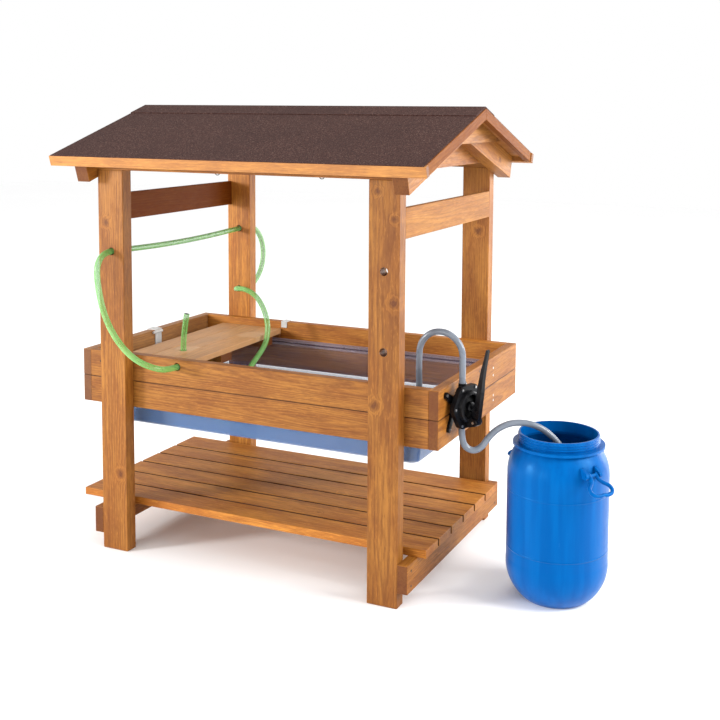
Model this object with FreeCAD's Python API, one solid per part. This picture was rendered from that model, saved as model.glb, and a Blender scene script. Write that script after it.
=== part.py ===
import FreeCAD, Part
import math
import os

# Sand and water table with a felted gable roof, a shelf, a hand pump and a water drum, in millimetres.
# Everything is built from the outer, front, bottom corner of the front left leg (X right, Y back, Z up)
# and is moved at the end so that the origin lies under the middle of the whole object, on the ground.

Vector = FreeCAD.Vector

# ---------------------------------------------------------------- driving dimensions

post_width = 101.0              # wide face of a leg, seen from the front
post_depth = 46.0
leg_pitch = 1000.0              # left edge to left edge of the two front legs
frame_depth = 849.0             # front face of the front legs to back face of the back legs
post_height = 1300.0
frame_length = leg_pitch + post_width
back_leg_y = frame_depth - post_depth

board_thickness = 32.0          # boards of the box
board_height = 90.6
box_left, box_right = -111.0, 1211.0
box_front, box_back = post_depth, back_leg_y
box_bottom = 492.5
box_top = box_bottom + 2 * board_height + 0.3
inner_left, inner_right = box_left + board_thickness, box_right - board_thickness
inner_front, inner_back = box_front + board_thickness, box_back - board_thickness

arris = 2.0                     # rounding of the planed timber's edges

lower_rail_thickness = 34.0
lower_rail_bottom, lower_rail_top = 50.0, 139.0
upper_rail_bottom, upper_rail_top = 1123.0, 1216.0
upper_rail_thickness = 18.0

slat_thickness = 26.0
slat_left, slat_right = -141.0, 1163.0
slat_pitch = 110.75
slat_width = 100.5
slat_start = 79.0
slat_count = 6
last_slat_width = 122.0

end_board_screws = [(409, 656), (549, 638), (549, 613), (553, 543), (553, 526)]

post_hole_radius = 13.0
post_hole_heights = (785.0, 1028.0)
hose_radius = 10.0

# ---------------------------------------------------------------- roof

ridge_y = frame_depth / 2
ridge_z = 1517.0
eave_overhang = 95.0
eave_z = 1352.0
roof_left, roof_right = -125.0, 1220.0
roof_front, roof_back = -eave_overhang, frame_depth + eave_overhang
roof_slope = (ridge_z - eave_z) / (ridge_y - roof_front)
roof_angle = math.atan(roof_slope)
edge_board_thickness = 20.0
edge_board_height = 36.0        # upright
barge_inset = 4.0               # from the ends of the fascia boards
felt_inset = 7.0
strip_thickness = 3.0           # upright thickness of the ridge strip, and of the felt below it
felt_thickness = 3.0
deck_thickness = 19.0
ridge_strip_half_width = 88.0
rafter_thickness = 48.0
rafter_height = 83.0            # upright
rafter_tail = 66.0              # how far the rafters' top edges run past the legs
screw_eye_z = 1301.5
gusset_thickness = 18.0
gusset_bottom = 1398.0
collar_thickness = 20.0
collar_bottom, collar_top = 1322.0, 1418.0

# ---------------------------------------------------------------- tray and work board

tray_wall = 3.0
tray_rim_top = 609.0
tray_bottom = 422.0
tray_corner_radius = 28.0
ledger_height = 23.0
ledger_width = 20.0
end_ledger_width = 38.0

work_board_left, work_board_right = -5.0, 263.0
work_board_top = 647.0
work_plank_thickness = 20.0
work_plank_count = 3
work_plank_gap = 3.0
work_batten_height = 30.0
stub_hole = Vector(145.0, 276.0, work_board_top)
stub_hole_radius = 14.0
panel_hole_x = 278.0
panel_hole_z = 649.0
panel_hole_radius = 13.5

# ---------------------------------------------------------------- hand pump

pump_y, pump_z = 176.0, 605.0
pump_port_x, pump_port_y = box_right + 29.0, 168.0
pump_port_radius = 12.0
pump_turn = 18.0                # the pump's face is turned this far towards the front, in degrees
pump_foot_thickness = 8.0
pump_foot_places = [(-79, 45), (-54, -66), (79, 45), (54, -66)]
pump_port_reach = 70.0          # port faces above and below the pump's centre
pump_port_bore = 8.0
# Along the pump's own axis, as if it were not turned:
pump_back_x = pump_port_x - 17.0
pump_flange_x = pump_port_x + 15.0
pump_flange_thickness = 8.0
pump_ring_thickness = 8.0
pump_flange_radius = 75.0       # to the hexagon's corners, before they are rounded off
pump_corner_radius = 72.0
pump_screw_radius = 64.0
collar_height = 14.0
collar_outer_radius, collar_inner_radius = 50.0, 38.0
diaphragm_radius = 51.5
hub_radius = 16.0
hub_clearance = 0.3
lever_pivot_x, lever_pivot_z = 1292.0, 562.0
lever_half_thickness = 9.0
lever_tip_half_thickness = 5.0
lever_taper_start_z, lever_tip_z = 640.0, 792.0
lever_outline = [
    (1281, 556), (1293, 549), (1303, 555), (1307, 588), (1311, 621), (1316, 656), (1319, 694),
    (1324, 726), (1330, 758), (1336, 787), (1334, 791), (1330, 791), (1328, 787), (1321, 758),
    (1311.5, 727), (1305, 694), (1300.5, 668), (1295, 633), (1284, 596), (1278, 566),
]
pivot_pin_radius = 4.0
running_clearance = 0.05
rod_eye_x = 1297.0
rod_pin_radius = 3.0
rod_eye_half_thickness = 3.7

# ---------------------------------------------------------------- drum

drum_x, drum_y = 1506.5, 311.0
drum_height = 520.0
drum_radius = 156.5
drum_wall = 3.5
drum_neck_radius = 123.0
drum_neck_bottom = 489.0
handle_azimuths = {"drum_handle_front": -37.6, "drum_handle_back": 142.4}
handle_pivot_radius = 165.0
handle_pivot_z = 432.0
handle_bar_radius = 6.0
handle_axle_radius = 5.0
handle_droop = 38.0             # how far below level the handles stand at rest, in degrees
lug_half_pitch = 24.0
lug_half_width = 4.5
lug_nose_radius = 10.5
lug_top_z = 451.0

# ---------------------------------------------------------------- hose routes

# From the pump's lower port, in a dip, over the drum's rim and down to its floor:
# distance towards the drum, and height.
suction_profile = [
    (0, 535), (0, 506), (11, 475), (37, 462), (63, 474), (82, 503), (108, 530), (148, 549),
    (192, 551), (238, 538), (280, 508), (318, 462), (347, 398), (363, 315), (368, 225), (366, 135),
    (358, 50),
]
# From the pump's upper port, over the end board and down into the tray: x, y, z.
delivery_route = [
    (1240, 168, 675), (1241, 168, 725), (1240, 167, 786), (1199, 166, 828), (1140, 166, 829),
    (1099, 168, 787), (1095, 172, 725), (1094, 177, 660), (1095, 183, 596), (1097, 191, 532),
    (1099, 200, 470),
]
# From the tray's floor up over the work board, round behind the back left leg, through both left
# legs, back in through the front board, and up through the work board to the open end above it.
water_line_route = [
    (288, 248, 440), (290, 310, 452), (292, 375, 482), (293, 440, 525), (292, 510, 569),
    (289, 588, 606), (287, 622, 642), (280, 638, 694), (250, 658, 745), (200, 688, 784),
    (138, 712, 802), (83, 733, 798), (53, 775, 787), (50.5, 832, 785), (51, 921, 787),
    (52, 991, 862), (51, 990, 957), (50.5, 918, 1027), (50.5, 826, 1028), (50.5, 740, 1026),
    (50.5, 620, 1021), (51, 460, 1018), (51, 300, 1019), (50.5, 150, 1023), (50.5, 40, 1028),
    (50.5, -14, 1029), (50, -50, 1018), (50, -72, 990), (52, -76, 948), (60, -77, 900),
    (78, -80, 840), (112, -84, 780), (160, -88, 728), (212, -84, 690), (258, -62, 667),
    (277, -18, 652), (278, 60, 648.5), (278, 120, 643), (275, 170, 600), (257, 216, 556),
    (222, 246, 536), (178, 262, 545), (149, 273, 580), (145, 276, 628), (145.5, 276, 672),
    (150, 277, 726), (160, 277, 779),
]


# ---------------------------------------------------------------- building helpers

def block(x0, x1, y0, y1, z0, z1):
    return Part.makeBox(x1 - x0, y1 - y0, z1 - z0, Vector(x0, y0, z0))


def timber(x0, x1, y0, y1, z0, z1, rounding=arris):
    """A planed length of timber with eased edges."""
    solid = block(x0, x1, y0, y1, z0, z1)
    return solid.makeFillet(rounding, solid.Edges)


def rod(start, direction, length, radius):
    return Part.makeCylinder(radius, length, Vector(*start), Vector(*direction))


def prism_along_x(outline, x0, x1):
    """A solid with a (y, z) outline, between two x positions."""
    points = [Vector(x0, y, z) for y, z in outline]
    face = Part.Face(Part.makePolygon(points + points[:1]))
    return face.extrude(Vector(x1 - x0, 0, 0))


def eased(solid, rounding):
    return solid.makeFillet(rounding, solid.Edges)


def fuse(solids):
    result = solids[0]
    for solid in solids[1:]:
        result = result.fuse(solid)
    return result.removeSplitter()


def cut(solid, tools):
    for tool in tools:
        solid = solid.cut(tool)
    return solid


def route_corner(before, corner, after):
    """Where the arc at a corner starts, passes and ends, and its radius."""
    run_in, run_out = corner - before, after - corner
    half_turn = run_in.getAngle(run_out) / 2
    reach = 0.45 * min(run_in.Length, run_out.Length)
    radius = reach / math.tan(half_turn)
    start = corner - Vector(run_in).normalize() * reach
    end = corner + Vector(run_out).normalize() * reach
    inward = (start + end) * 0.5 - corner
    depth = radius / math.cos(half_turn) - radius
    middle = corner + inward.normalize() * depth
    return start, middle, end, radius


def route_wire(points):
    """Straight runs joined by tangent arcs, as one wire, and the arcs' radii."""
    edges, radii = [], []
    here = points[0]
    for before, corner, after in zip(points, points[1:], points[2:]):
        start, middle, end, radius = route_corner(before, corner, after)
        edges.append(Part.LineSegment(here, start).toShape())
        edges.append(Part.Arc(start, middle, end).toShape())
        radii.append(radius)
        here = end
    edges.append(Part.LineSegment(here, points[-1]).toShape())
    return Part.Wire(edges), radii


def sweep_circle(path, radius):
    start = path.Edges[0].Vertexes[0].Point
    direction = path.Edges[0].tangentAt(path.Edges[0].FirstParameter)
    ring = Part.Wire([Part.Circle(start, direction, radius).toShape()])
    return path.makePipeShell([ring], True, False)


def hose(name, points):
    """A round hose along a route, with its measures printed."""
    path, radii = route_wire([Vector(*p) for p in points])
    solid = sweep_circle(path, hose_radius)
    fill = solid.Volume / (math.pi * hose_radius ** 2 * path.Length)
    shown = " ".join(f"{r:.0f}" for r in radii)
    print(f"{name}: length {path.Length:.0f}, volume ratio {fill:.4f}, radii {shown}")
    return solid


# ---------------------------------------------------------------- frame, shelf and box

def post(left, front, hole_heights):
    solid = timber(left, left + post_width, front, front + post_depth, 0, post_height)
    middle = left + post_width / 2
    holes = [rod((middle, front - 1, z), (0, 1, 0), post_depth + 2, post_hole_radius)
             for z in hole_heights]
    return cut(solid, holes)


def make_frame():
    nodes = {
        "post_front_left": post(0, 0, post_hole_heights[1:]),
        "post_front_right": post(leg_pitch, 0, post_hole_heights),
        "post_back_left": post(0, back_leg_y, post_hole_heights),
        "post_back_right": post(leg_pitch, back_leg_y, ()),
    }
    upper_starts = {"left": 0, "right": frame_length - upper_rail_thickness}
    lower_starts = {"left": -lower_rail_thickness, "right": frame_length}
    for side in ("left", "right"):
        x = upper_starts[side]
        nodes[f"upper_rail_{side}"] = timber(x, x + upper_rail_thickness, post_depth, back_leg_y,
                                             upper_rail_bottom, upper_rail_top)
        x = lower_starts[side]
        nodes[f"lower_rail_{side}"] = timber(x, x + lower_rail_thickness, 0, frame_depth,
                                             lower_rail_bottom, lower_rail_top)
    return nodes


def make_shelf():
    nodes = {}
    for i in range(slat_count):
        front = slat_start + i * slat_pitch
        width = last_slat_width if i == slat_count - 1 else slat_width
        nodes[f"shelf_slat_{i + 1}"] = timber(slat_left, slat_right, front, front + width,
                                              lower_rail_top, lower_rail_top + slat_thickness)
    return nodes


def make_box():
    nodes = {}
    for course, z0 in (("lower", box_bottom), ("upper", box_top - board_height)):
        z1 = z0 + board_height
        nodes[f"box_front_{course}"] = timber(inner_left, inner_right, box_front, inner_front, z0, z1)
        nodes[f"box_back_{course}"] = timber(inner_left, inner_right, inner_back, box_back, z0, z1)
        nodes[f"box_left_{course}"] = timber(box_left, inner_left, box_front, box_back, z0, z1)
        nodes[f"box_right_{course}"] = timber(inner_right, box_right, box_front, box_back, z0, z1)
    hole = rod((panel_hole_x, box_front - 1, panel_hole_z), (0, 1, 0), board_thickness + 2,
               panel_hole_radius)
    nodes["box_front_upper"] = nodes["box_front_upper"].cut(hole)
    return nodes


# ---------------------------------------------------------------- tray and work board

def rounded_rectangle(x0, x1, y0, y1, z, radius):
    corners = [(x1 - radius, y0 + radius, -90), (x1 - radius, y1 - radius, 0),
               (x0 + radius, y1 - radius, 90), (x0 + radius, y0 + radius, 180)]
    arcs = [Part.makeCircle(radius, Vector(x, y, z), Vector(0, 0, 1), angle, angle + 90)
            for x, y, angle in corners]
    edges = []
    for arc, following in zip(arcs, arcs[1:] + arcs[:1]):
        edges.append(arc)
        edges.append(Part.LineSegment(arc.Vertexes[-1].Point, following.Vertexes[0].Point).toShape())
    return Part.Wire(edges)


def tray_well(inset, floor, top):
    """The tapered well, drawn in by inset on every side."""
    mouth = rounded_rectangle(-39 + inset, 1139 - inset, 100 + inset, 749 - inset, top,
                              tray_corner_radius)
    base = rounded_rectangle(-15 + inset, 1115 - inset, 108 + inset, 741 - inset, floor,
                             tray_corner_radius)
    return Part.makeLoft([base, mouth], True, True)


def make_tray():
    rim_bottom = tray_rim_top - tray_wall
    flange = block(inner_left + 2, inner_right - 2, inner_front + 2, inner_back - 2,
                   rim_bottom, tray_rim_top)
    bead = block(-47, 1147, 92, 757, rim_bottom, tray_rim_top + 3)
    solid = fuse([flange, bead, tray_well(0, tray_bottom, tray_rim_top)])
    solid = solid.cut(tray_well(tray_wall, tray_bottom + tray_wall, tray_rim_top + 4))
    ledger_top = rim_bottom
    z0 = ledger_top - ledger_height
    long_ledgers = [timber(inner_left, inner_right, y, y + ledger_width, z0, ledger_top, 1)
                    for y in (inner_front, inner_back - ledger_width)]
    y0, y1 = inner_front + ledger_width, inner_back - ledger_width
    short_ledgers = [timber(x, x + end_ledger_width, y0, y1, z0, ledger_top, 1)
                     for x in (inner_left, inner_right - end_ledger_width)]
    return {"tray": solid, "tray_ledgers_long": long_ledgers, "tray_ledgers_short": short_ledgers}


def make_work_board():
    bottom = work_board_top - work_plank_thickness
    front, back = inner_front + 4, inner_back - 3
    gaps = (work_plank_count - 1) * work_plank_gap
    width = (work_board_right - work_board_left - gaps) / work_plank_count
    nodes = {}
    for i in range(work_plank_count):
        left = work_board_left + i * (width + work_plank_gap)
        plank = timber(left, left + width, front, back, bottom, work_board_top)
        if left < stub_hole.x < left + width:
            plank = plank.cut(rod((stub_hole.x, stub_hole.y, bottom - 1), (0, 0, 1),
                                  work_plank_thickness + 2, stub_hole_radius))
        nodes[f"work_board_plank_{i + 1}"] = plank
    batten_bottom = bottom - work_batten_height
    nodes["work_board_battens"] = [
        timber(work_board_left + 8, work_board_right - 1, y, y + 70, batten_bottom, bottom)
        for y in (340, 634)
    ]
    rest_bottom = tray_rim_top + 0.3
    nodes["work_board_rests"] = [
        timber(work_board_left, 246, front, 91, rest_bottom, bottom, 1),
        timber(work_board_left, work_board_right, 758, back, rest_bottom, bottom, 1),
    ]
    return nodes


# ---------------------------------------------------------------- roof

def roof_z(y, below=0.0):
    """Height of the roof's outer surface at y, less an upright depth."""
    return ridge_z - roof_slope * abs(y - ridge_y) - below


def roof_layer(eave_y, top, bottom, ridge_end=ridge_y):
    """Outline of a layer between two depths below the front slope, its eave end square to the slope.

    With ridge_end left as it is the layer runs to an upright joint at the ridge."""
    set_back = (bottom - top) * math.sin(roof_angle) * math.cos(roof_angle)
    upper_back = ridge_end
    lower_back = ridge_end if ridge_end == ridge_y else ridge_end + set_back
    return [(eave_y + set_back, roof_z(eave_y + set_back, bottom)), (lower_back, roof_z(lower_back, bottom)),
            (upper_back, roof_z(upper_back, top)), (eave_y, roof_z(eave_y, top))]


def on_both_slopes(outline, x0, x1):
    """The front slope's piece and its mirror image on the back slope."""
    mirrored = [(frame_depth - y, z) for y, z in outline]
    return [prism_along_x(outline, x0, x1), prism_along_x(mirrored, x0, x1)]


def make_roof():
    felt_top = strip_thickness
    deck_top = felt_top + felt_thickness
    deck_bottom = deck_top + deck_thickness
    edge_bottom = deck_top + edge_board_height
    behind_fascia = roof_front + edge_board_thickness * math.cos(roof_angle)
    barge_left, barge_right = roof_left + barge_inset, roof_right - barge_inset
    x0, x1 = barge_left + edge_board_thickness, barge_right - edge_board_thickness
    felt_left, felt_right = roof_left + felt_inset, roof_right - felt_inset
    decks = on_both_slopes(roof_layer(behind_fascia, deck_top, deck_bottom), x0, x1)
    felts = on_both_slopes(roof_layer(roof_front, felt_top, deck_top), felt_left, felt_right)
    strip = roof_layer(ridge_y - ridge_strip_half_width, 0, felt_top)
    fascia = roof_layer(roof_front, deck_top, edge_bottom, behind_fascia)
    nodes = {
        "roof_deck_front": decks[0],
        "roof_deck_back": decks[1],
        "roof_felt_front": felts[0],
        "roof_felt_back": felts[1],
        "ridge_strip": on_both_slopes(strip, felt_left, felt_right),
        "fascia_boards": [eased(s, 1.5) for s in on_both_slopes(fascia, roof_left, roof_right)],
    }
    barge = roof_layer(behind_fascia, deck_top, edge_bottom)
    for side, outer, inner in (("left", barge_left, x0), ("right", x1, barge_right)):
        nodes[f"barge_boards_{side}"] = [eased(s, 1.5) for s in on_both_slopes(barge, outer, inner)]
    nodes["eaves_beams"] = [
        eased(prism_along_x([(a, post_height), (b, post_height), (b, roof_z(b, deck_bottom)),
                             (a, roof_z(a, deck_bottom))], 0, frame_length), 1.5)
        for a, b in ((0, post_depth), (back_leg_y, frame_depth))
    ]
    nodes.update(make_trusses(deck_bottom))
    return nodes


def make_trusses(deck_bottom):
    rafter_bottom = deck_bottom + rafter_height
    nodes = {"gable_gussets": [], "collar_ties": []}
    half_gusset = (roof_z(ridge_y, deck_bottom) - gusset_bottom) / roof_slope
    gusset = [(ridge_y - half_gusset, gusset_bottom), (ridge_y + half_gusset, gusset_bottom),
              (ridge_y, roof_z(ridge_y, deck_bottom))]
    collar_front = post_depth
    shoulder = (roof_z(ridge_y, deck_bottom + 2) - collar_top) / roof_slope
    collar_half = [(collar_front, collar_bottom), (collar_front, roof_z(collar_front, deck_bottom + 2)),
                   (ridge_y - shoulder, collar_top)]
    collar = collar_half + [(frame_depth - y, z) for y, z in reversed(collar_half)]
    truss_left = {"left": -rafter_thickness, "right": frame_length}
    gusset_left = {"left": -rafter_thickness - gusset_thickness,
                   "right": frame_length + rafter_thickness}
    collar_left = {"left": 0, "right": frame_length - collar_thickness}
    for side in ("left", "right"):
        x = truss_left[side]
        rafters = on_both_slopes(roof_layer(-rafter_tail, deck_bottom, rafter_bottom),
                                 x, x + rafter_thickness)
        nodes[f"rafters_{side}"] = [eased(s, 1.5) for s in rafters]
        x = gusset_left[side]
        nodes["gable_gussets"].append(prism_along_x(gusset, x, x + gusset_thickness))
        x = collar_left[side]
        nodes["collar_ties"].append(prism_along_x(collar, x, x + collar_thickness))
    return nodes


# ---------------------------------------------------------------- hand pump

def pump_turned(profile):
    """A solid of revolution about the pump's axis, from (x, radius) points."""
    points = [Vector(x, pump_y, pump_z + r) for x, r in profile]
    face = Part.Face(Part.makePolygon(points + points[:1]))
    return face.revolve(Vector(0, pump_y, pump_z), Vector(1, 0, 0), 360)


def face_round(solid):
    """Turns a piece of the pump towards the front, about an upright line through its axis."""
    solid = solid.copy()
    solid.rotate(Vector(pump_port_x, pump_y, 0), Vector(0, 0, 1), -pump_turn)
    return solid


def hexagon(x0, x1):
    """A six-sided plate with rounded corners, square to the pump's axis."""
    angles = [math.radians(60 * i) for i in range(6)]
    outline = [(pump_y + pump_flange_radius * math.cos(a), pump_z + pump_flange_radius * math.sin(a))
               for a in angles]
    disc = rod((x0, pump_y, pump_z), (1, 0, 0), x1 - x0, pump_corner_radius)
    return prism_along_x(outline, x0, x1).common(disc)


def pump_foot(dy, dz):
    """A tapered arm from the pump's back to a foot, in the plane of the box's end."""
    length = math.hypot(dy, dz)
    across = Vector(0, -dz / length, dy / length)
    centre, foot = Vector(box_right, pump_y, pump_z), Vector(box_right, pump_y + dy, pump_z + dz)
    points = [centre + across * 16, foot + across * 9, foot - across * 9, centre - across * 16]
    arm = Part.Face(Part.makePolygon(points + points[:1])).extrude(Vector(pump_foot_thickness, 0, 0))
    pad = rod(foot, (1, 0, 0), pump_foot_thickness, 10)
    return arm.fuse(pad)


def make_pump_body():
    back, flange = pump_back_x, pump_flange_x
    shoulder = flange - pump_flange_thickness
    outer = [(back, 0), (back, 34), (back + 7, 46), (shoulder, 56), (shoulder + 1, 56), (shoulder + 1, 0)]
    cavity = [(back + 5, 0), (back + 5, 29), (back + 11, 40), (flange - 6, 48), (flange + 1, 48),
              (flange + 1, 0)]
    solids = [face_round(pump_turned(outer)), face_round(hexagon(shoulder, flange)),
              rod((box_right, pump_y, pump_z), (1, 0, 0), 24, 26)]
    solids += [pump_foot(dy, dz) for dy, dz in pump_foot_places]
    for way in (1, -1):
        start = (pump_port_x, pump_port_y, pump_z + way * 40)
        solids.append(rod(start, (0, 0, way), pump_port_reach - 40, pump_port_radius))
    body = fuse(solids).cut(face_round(pump_turned(cavity)))
    bores = [rod((pump_port_x, pump_port_y, pump_z + way * 38), (0, 0, way), 34, pump_port_bore)
             for way in (1, -1)]
    return cut(body, bores)


def ear(side):
    """One of the two cheeks that hold the lever's pivot pin."""
    y = pump_y + side * (lever_half_thickness + 1)
    root_x = pump_flange_x + pump_ring_thickness - 2
    outline = [(root_x, 572), (root_x + 5, 580), (lever_pivot_x + 9, lever_pivot_z + 9),
               (lever_pivot_x + 12, lever_pivot_z - 1), (lever_pivot_x + 5, lever_pivot_z - 11),
               (root_x, 541)]
    points = [Vector(x, y, z) for x, z in outline]
    return Part.Face(Part.makePolygon(points + points[:1])).extrude(Vector(0, side * 6, 0))


def make_clamp_ring():
    """The six-sided ring that clamps the diaphragm's rim, with its collar and ears."""
    x0, x1 = pump_flange_x, pump_flange_x + pump_ring_thickness
    inner, outer, top = collar_inner_radius, collar_outer_radius, x1 + collar_height
    collar = pump_turned([(x1 - 1, inner), (x1 - 1, outer), (top - 4, outer - 2), (top, outer - 6),
                          (top, inner + 2), (top - 2, inner)])
    opening = pump_turned([(x0 - 1, 0), (x0 - 1, diaphragm_radius), (x0 + 1.5, diaphragm_radius),
                           (x0 + 1.5, inner), (top + 1, inner), (top + 1, 0)])
    body = fuse([hexagon(x0, x1), collar, ear(1), ear(-1)]).cut(opening)
    bore = rod((lever_pivot_x, pump_y - 30, lever_pivot_z), (0, 1, 0), 60, pivot_pin_radius)
    return body.cut(bore)


def make_diaphragm():
    x = pump_flange_x
    hole, rim = hub_radius + hub_clearance, diaphragm_radius - 0.2
    return pump_turned([(x, rim), (x, 47), (x - 5, 43), (x - 3, 36), (x + 6, hole), (x + 9, hole),
                        (x, 37), (x - 2, 42.5), (x + 1.4, 46), (x + 1.4, rim)])


def make_pump_rod():
    """The diaphragm's hub with its pull rod, eye and cross pin."""
    hub = pump_turned([(1237, 0), (1237, 12), (1239, hub_radius), (1274, hub_radius), (1277, 12),
                       (1277, 0)])
    half = rod_eye_half_thickness
    shank = block(1275, rod_eye_x, pump_y - half, pump_y + half, pump_z - 5, pump_z + 5)
    eye = rod((rod_eye_x, pump_y - half, pump_z), (0, 1, 0), 2 * half, 7)
    pin = rod((rod_eye_x, pump_y - lever_half_thickness - 0.5, pump_z), (0, 1, 0),
              2 * lever_half_thickness + 1, rod_pin_radius)
    return fuse([hub, shank, eye, pin])


def make_lever():
    half = lever_half_thickness
    points = [Vector(x, pump_y - half, z) for x, z in lever_outline]
    bar = Part.Face(Part.makePolygon(points + points[:1])).extrude(Vector(0, 2 * half, 0))
    bore = rod((lever_pivot_x, pump_y - 20, lever_pivot_z), (0, 1, 0), 40,
               pivot_pin_radius + running_clearance)
    fork = block(1270, lever_pivot_x + 12, pump_y - 4, pump_y + 4, pump_z - 15, pump_z + 17)
    slot = block(rod_eye_x - 3.8, rod_eye_x + 3.8, pump_y - 20, pump_y + 20, pump_z - 6, pump_z + 7)
    tapers = []
    for side in (1, -1):
        outline = [(half, lever_taper_start_z), (lever_tip_half_thickness, lever_tip_z),
                   (20, lever_tip_z), (20, lever_taper_start_z)]
        points = [Vector(1270, pump_y + side * y, z) for y, z in outline]
        tapers.append(Part.Face(Part.makePolygon(points + points[:1])).extrude(Vector(80, 0, 0)))
    return cut(bar, [bore, fork, slot] + tapers)


def make_pump():
    ring_front = pump_flange_x + pump_ring_thickness
    screws = []
    for i in range(6):
        angle = math.radians(60 * i)
        place = (ring_front, pump_y + pump_screw_radius * math.cos(angle),
                 pump_z + pump_screw_radius * math.sin(angle))
        screws.append(face_round(rod(place, (1, 0, 0), 3, 4)))
    for dy, dz in pump_foot_places:
        place = (box_right + pump_foot_thickness, pump_y + dy, pump_z + dz)
        screws.append(rod(place, (1, 0, 0), 3, 4.5))
    valves = [rod((pump_port_x, pump_port_y, pump_z + z), (0, 0, 1), 4, pump_port_bore)
              for z in (-62, 58)]
    pin = rod((lever_pivot_x, pump_y - 18, lever_pivot_z), (0, 1, 0), 36, pivot_pin_radius)
    return {
        "pump_body": make_pump_body(),
        "pump_clamp_ring": face_round(make_clamp_ring()),
        "pump_diaphragm": face_round(make_diaphragm()),
        "pump_rod": face_round(make_pump_rod()),
        "pump_lever": face_round(make_lever()),
        "pump_lever_pin": face_round(pin),
        "pump_valves": valves,
        "pump_screws": screws,
    }


# ---------------------------------------------------------------- drum

def arc_through(a, b, c):
    return Part.Arc(*[Vector(r, 0, z) for r, z in (a, b, c)]).toShape()


def line_through(points):
    vectors = [Vector(r, 0, z) for r, z in points]
    return [Part.LineSegment(a, b).toShape() for a, b in zip(vectors, vectors[1:])]


def drum_outline():
    """Half section of the drum's shell: the outside going up, then the inside going down."""
    r, w, neck = drum_radius, drum_wall, drum_neck_radius
    thread = []
    for z in (496, 504, 512):
        thread += [(neck, z - 3), (neck + 2.5, z - 1), (neck + 2.5, z + 1), (neck, z + 3)]
    edges = line_through([(0, 0), (100, 0)])
    edges.append(arc_through((100, 0), (134, 36), (r, 130)))
    edges += line_through([(r, 130), (r, 384)])
    edges.append(arc_through((r, 384), (148.5, 440), (126, 481)))
    edges += line_through([(126, 481), (141, 481), (141, drum_neck_bottom), (neck, drum_neck_bottom)]
                          + thread + [(neck, drum_height), (neck - 5, drum_height), (neck - 5, 487),
                                      (121, 479)])
    edges.append(arc_through((121, 479), (144.5, 439), (r - w, 383)))
    edges += line_through([(r - w, 383), (r - w, 131)])
    edges.append(arc_through((r - w, 131), (131, 40), (98, w)))
    edges += line_through([(98, w), (0, w), (0, 0)])
    return Part.Wire(edges)


def place_on_drum(solid, azimuth):
    """Turns a solid built towards +X of the drum's axis to its azimuth, at the drum's place."""
    solid = solid.copy()
    solid.rotate(Vector(0, 0, 0), Vector(0, 0, 1), azimuth)
    solid.translate(Vector(drum_x, drum_y, 0))
    return solid


def drum_lugs():
    lugs = []
    for side in (-1, 1):
        y = side * lug_half_pitch
        bottom_z = handle_pivot_z - lug_nose_radius
        outline = [(150.3, bottom_z), (handle_pivot_radius, bottom_z),
                   (handle_pivot_radius + 9, handle_pivot_z + 6), (153, lug_top_z),
                   (142, lug_top_z)]
        points = [Vector(r, y - lug_half_width, z) for r, z in outline]
        plate = Part.Face(Part.makePolygon(points + points[:1]))
        plate = plate.extrude(Vector(0, 2 * lug_half_width, 0))
        nose = rod((handle_pivot_radius, y - lug_half_width, handle_pivot_z), (0, 1, 0),
                   2 * lug_half_width, lug_nose_radius)
        hole = rod((handle_pivot_radius, y - 10, handle_pivot_z), (0, 1, 0), 20,
                   handle_axle_radius + running_clearance)
        lugs.append(plate.fuse(nose).cut(hole))
    return lugs


def make_handle():
    """A loop, narrow between the lugs and wide at the grip, on an axle that turns in the lugs."""
    half = [(12, -5), (12.5, 15), (22, 29), (37, 40), (40, 55), (30, 68), (10, 71), (0, 68)]
    loop = half + [(-s, d) for s, d in reversed(half[:-1])]
    droop = math.radians(handle_droop)
    points = [Vector(handle_pivot_radius + d * math.cos(droop), s, handle_pivot_z - d * math.sin(droop))
              for s, d in loop]
    path, _ = route_wire(points)
    grip = sweep_circle(path, handle_bar_radius)
    axle_end = lug_half_pitch + lug_half_width + 1
    axle = rod((handle_pivot_radius, -axle_end, handle_pivot_z), (0, 1, 0), 2 * axle_end,
               handle_axle_radius)
    return grip.fuse(axle)


def make_drum():
    shell = Part.Face(drum_outline()).revolve(Vector(0, 0, 0), Vector(0, 0, 1), 360)
    body = place_on_drum(shell, 0)
    for azimuth in handle_azimuths.values():
        for lug in drum_lugs():
            body = body.fuse(place_on_drum(lug, azimuth))
    nodes = {"drum": body.removeSplitter()}
    for name, azimuth in handle_azimuths.items():
        nodes[name] = place_on_drum(make_handle(), azimuth)
    return nodes


# ---------------------------------------------------------------- hoses and small fittings

def make_hoses():
    reach = math.hypot(drum_x - pump_port_x, drum_y - pump_port_y)
    ux, uy = (drum_x - pump_port_x) / reach, (drum_y - pump_port_y) / reach
    suction_route = [(pump_port_x + s * ux, pump_port_y + s * uy, z) for s, z in suction_profile]
    return {
        "hose_suction": hose("hose_suction", suction_route),
        "hose_delivery": hose("hose_delivery", delivery_route),
        "hose_water_line": hose("hose_water_line", water_line_route),
    }


def wood_screw(place, direction, length):
    """A countersunk screw with its head just proud of the face at place, driven along direction."""
    way = Vector(*direction)
    head = rod(Vector(*place) - way * 0.6, direction, 2.6, 4)
    shank = rod(Vector(*place) + way * 2, direction, length - 2, 2)
    return head.fuse(shank)


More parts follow.
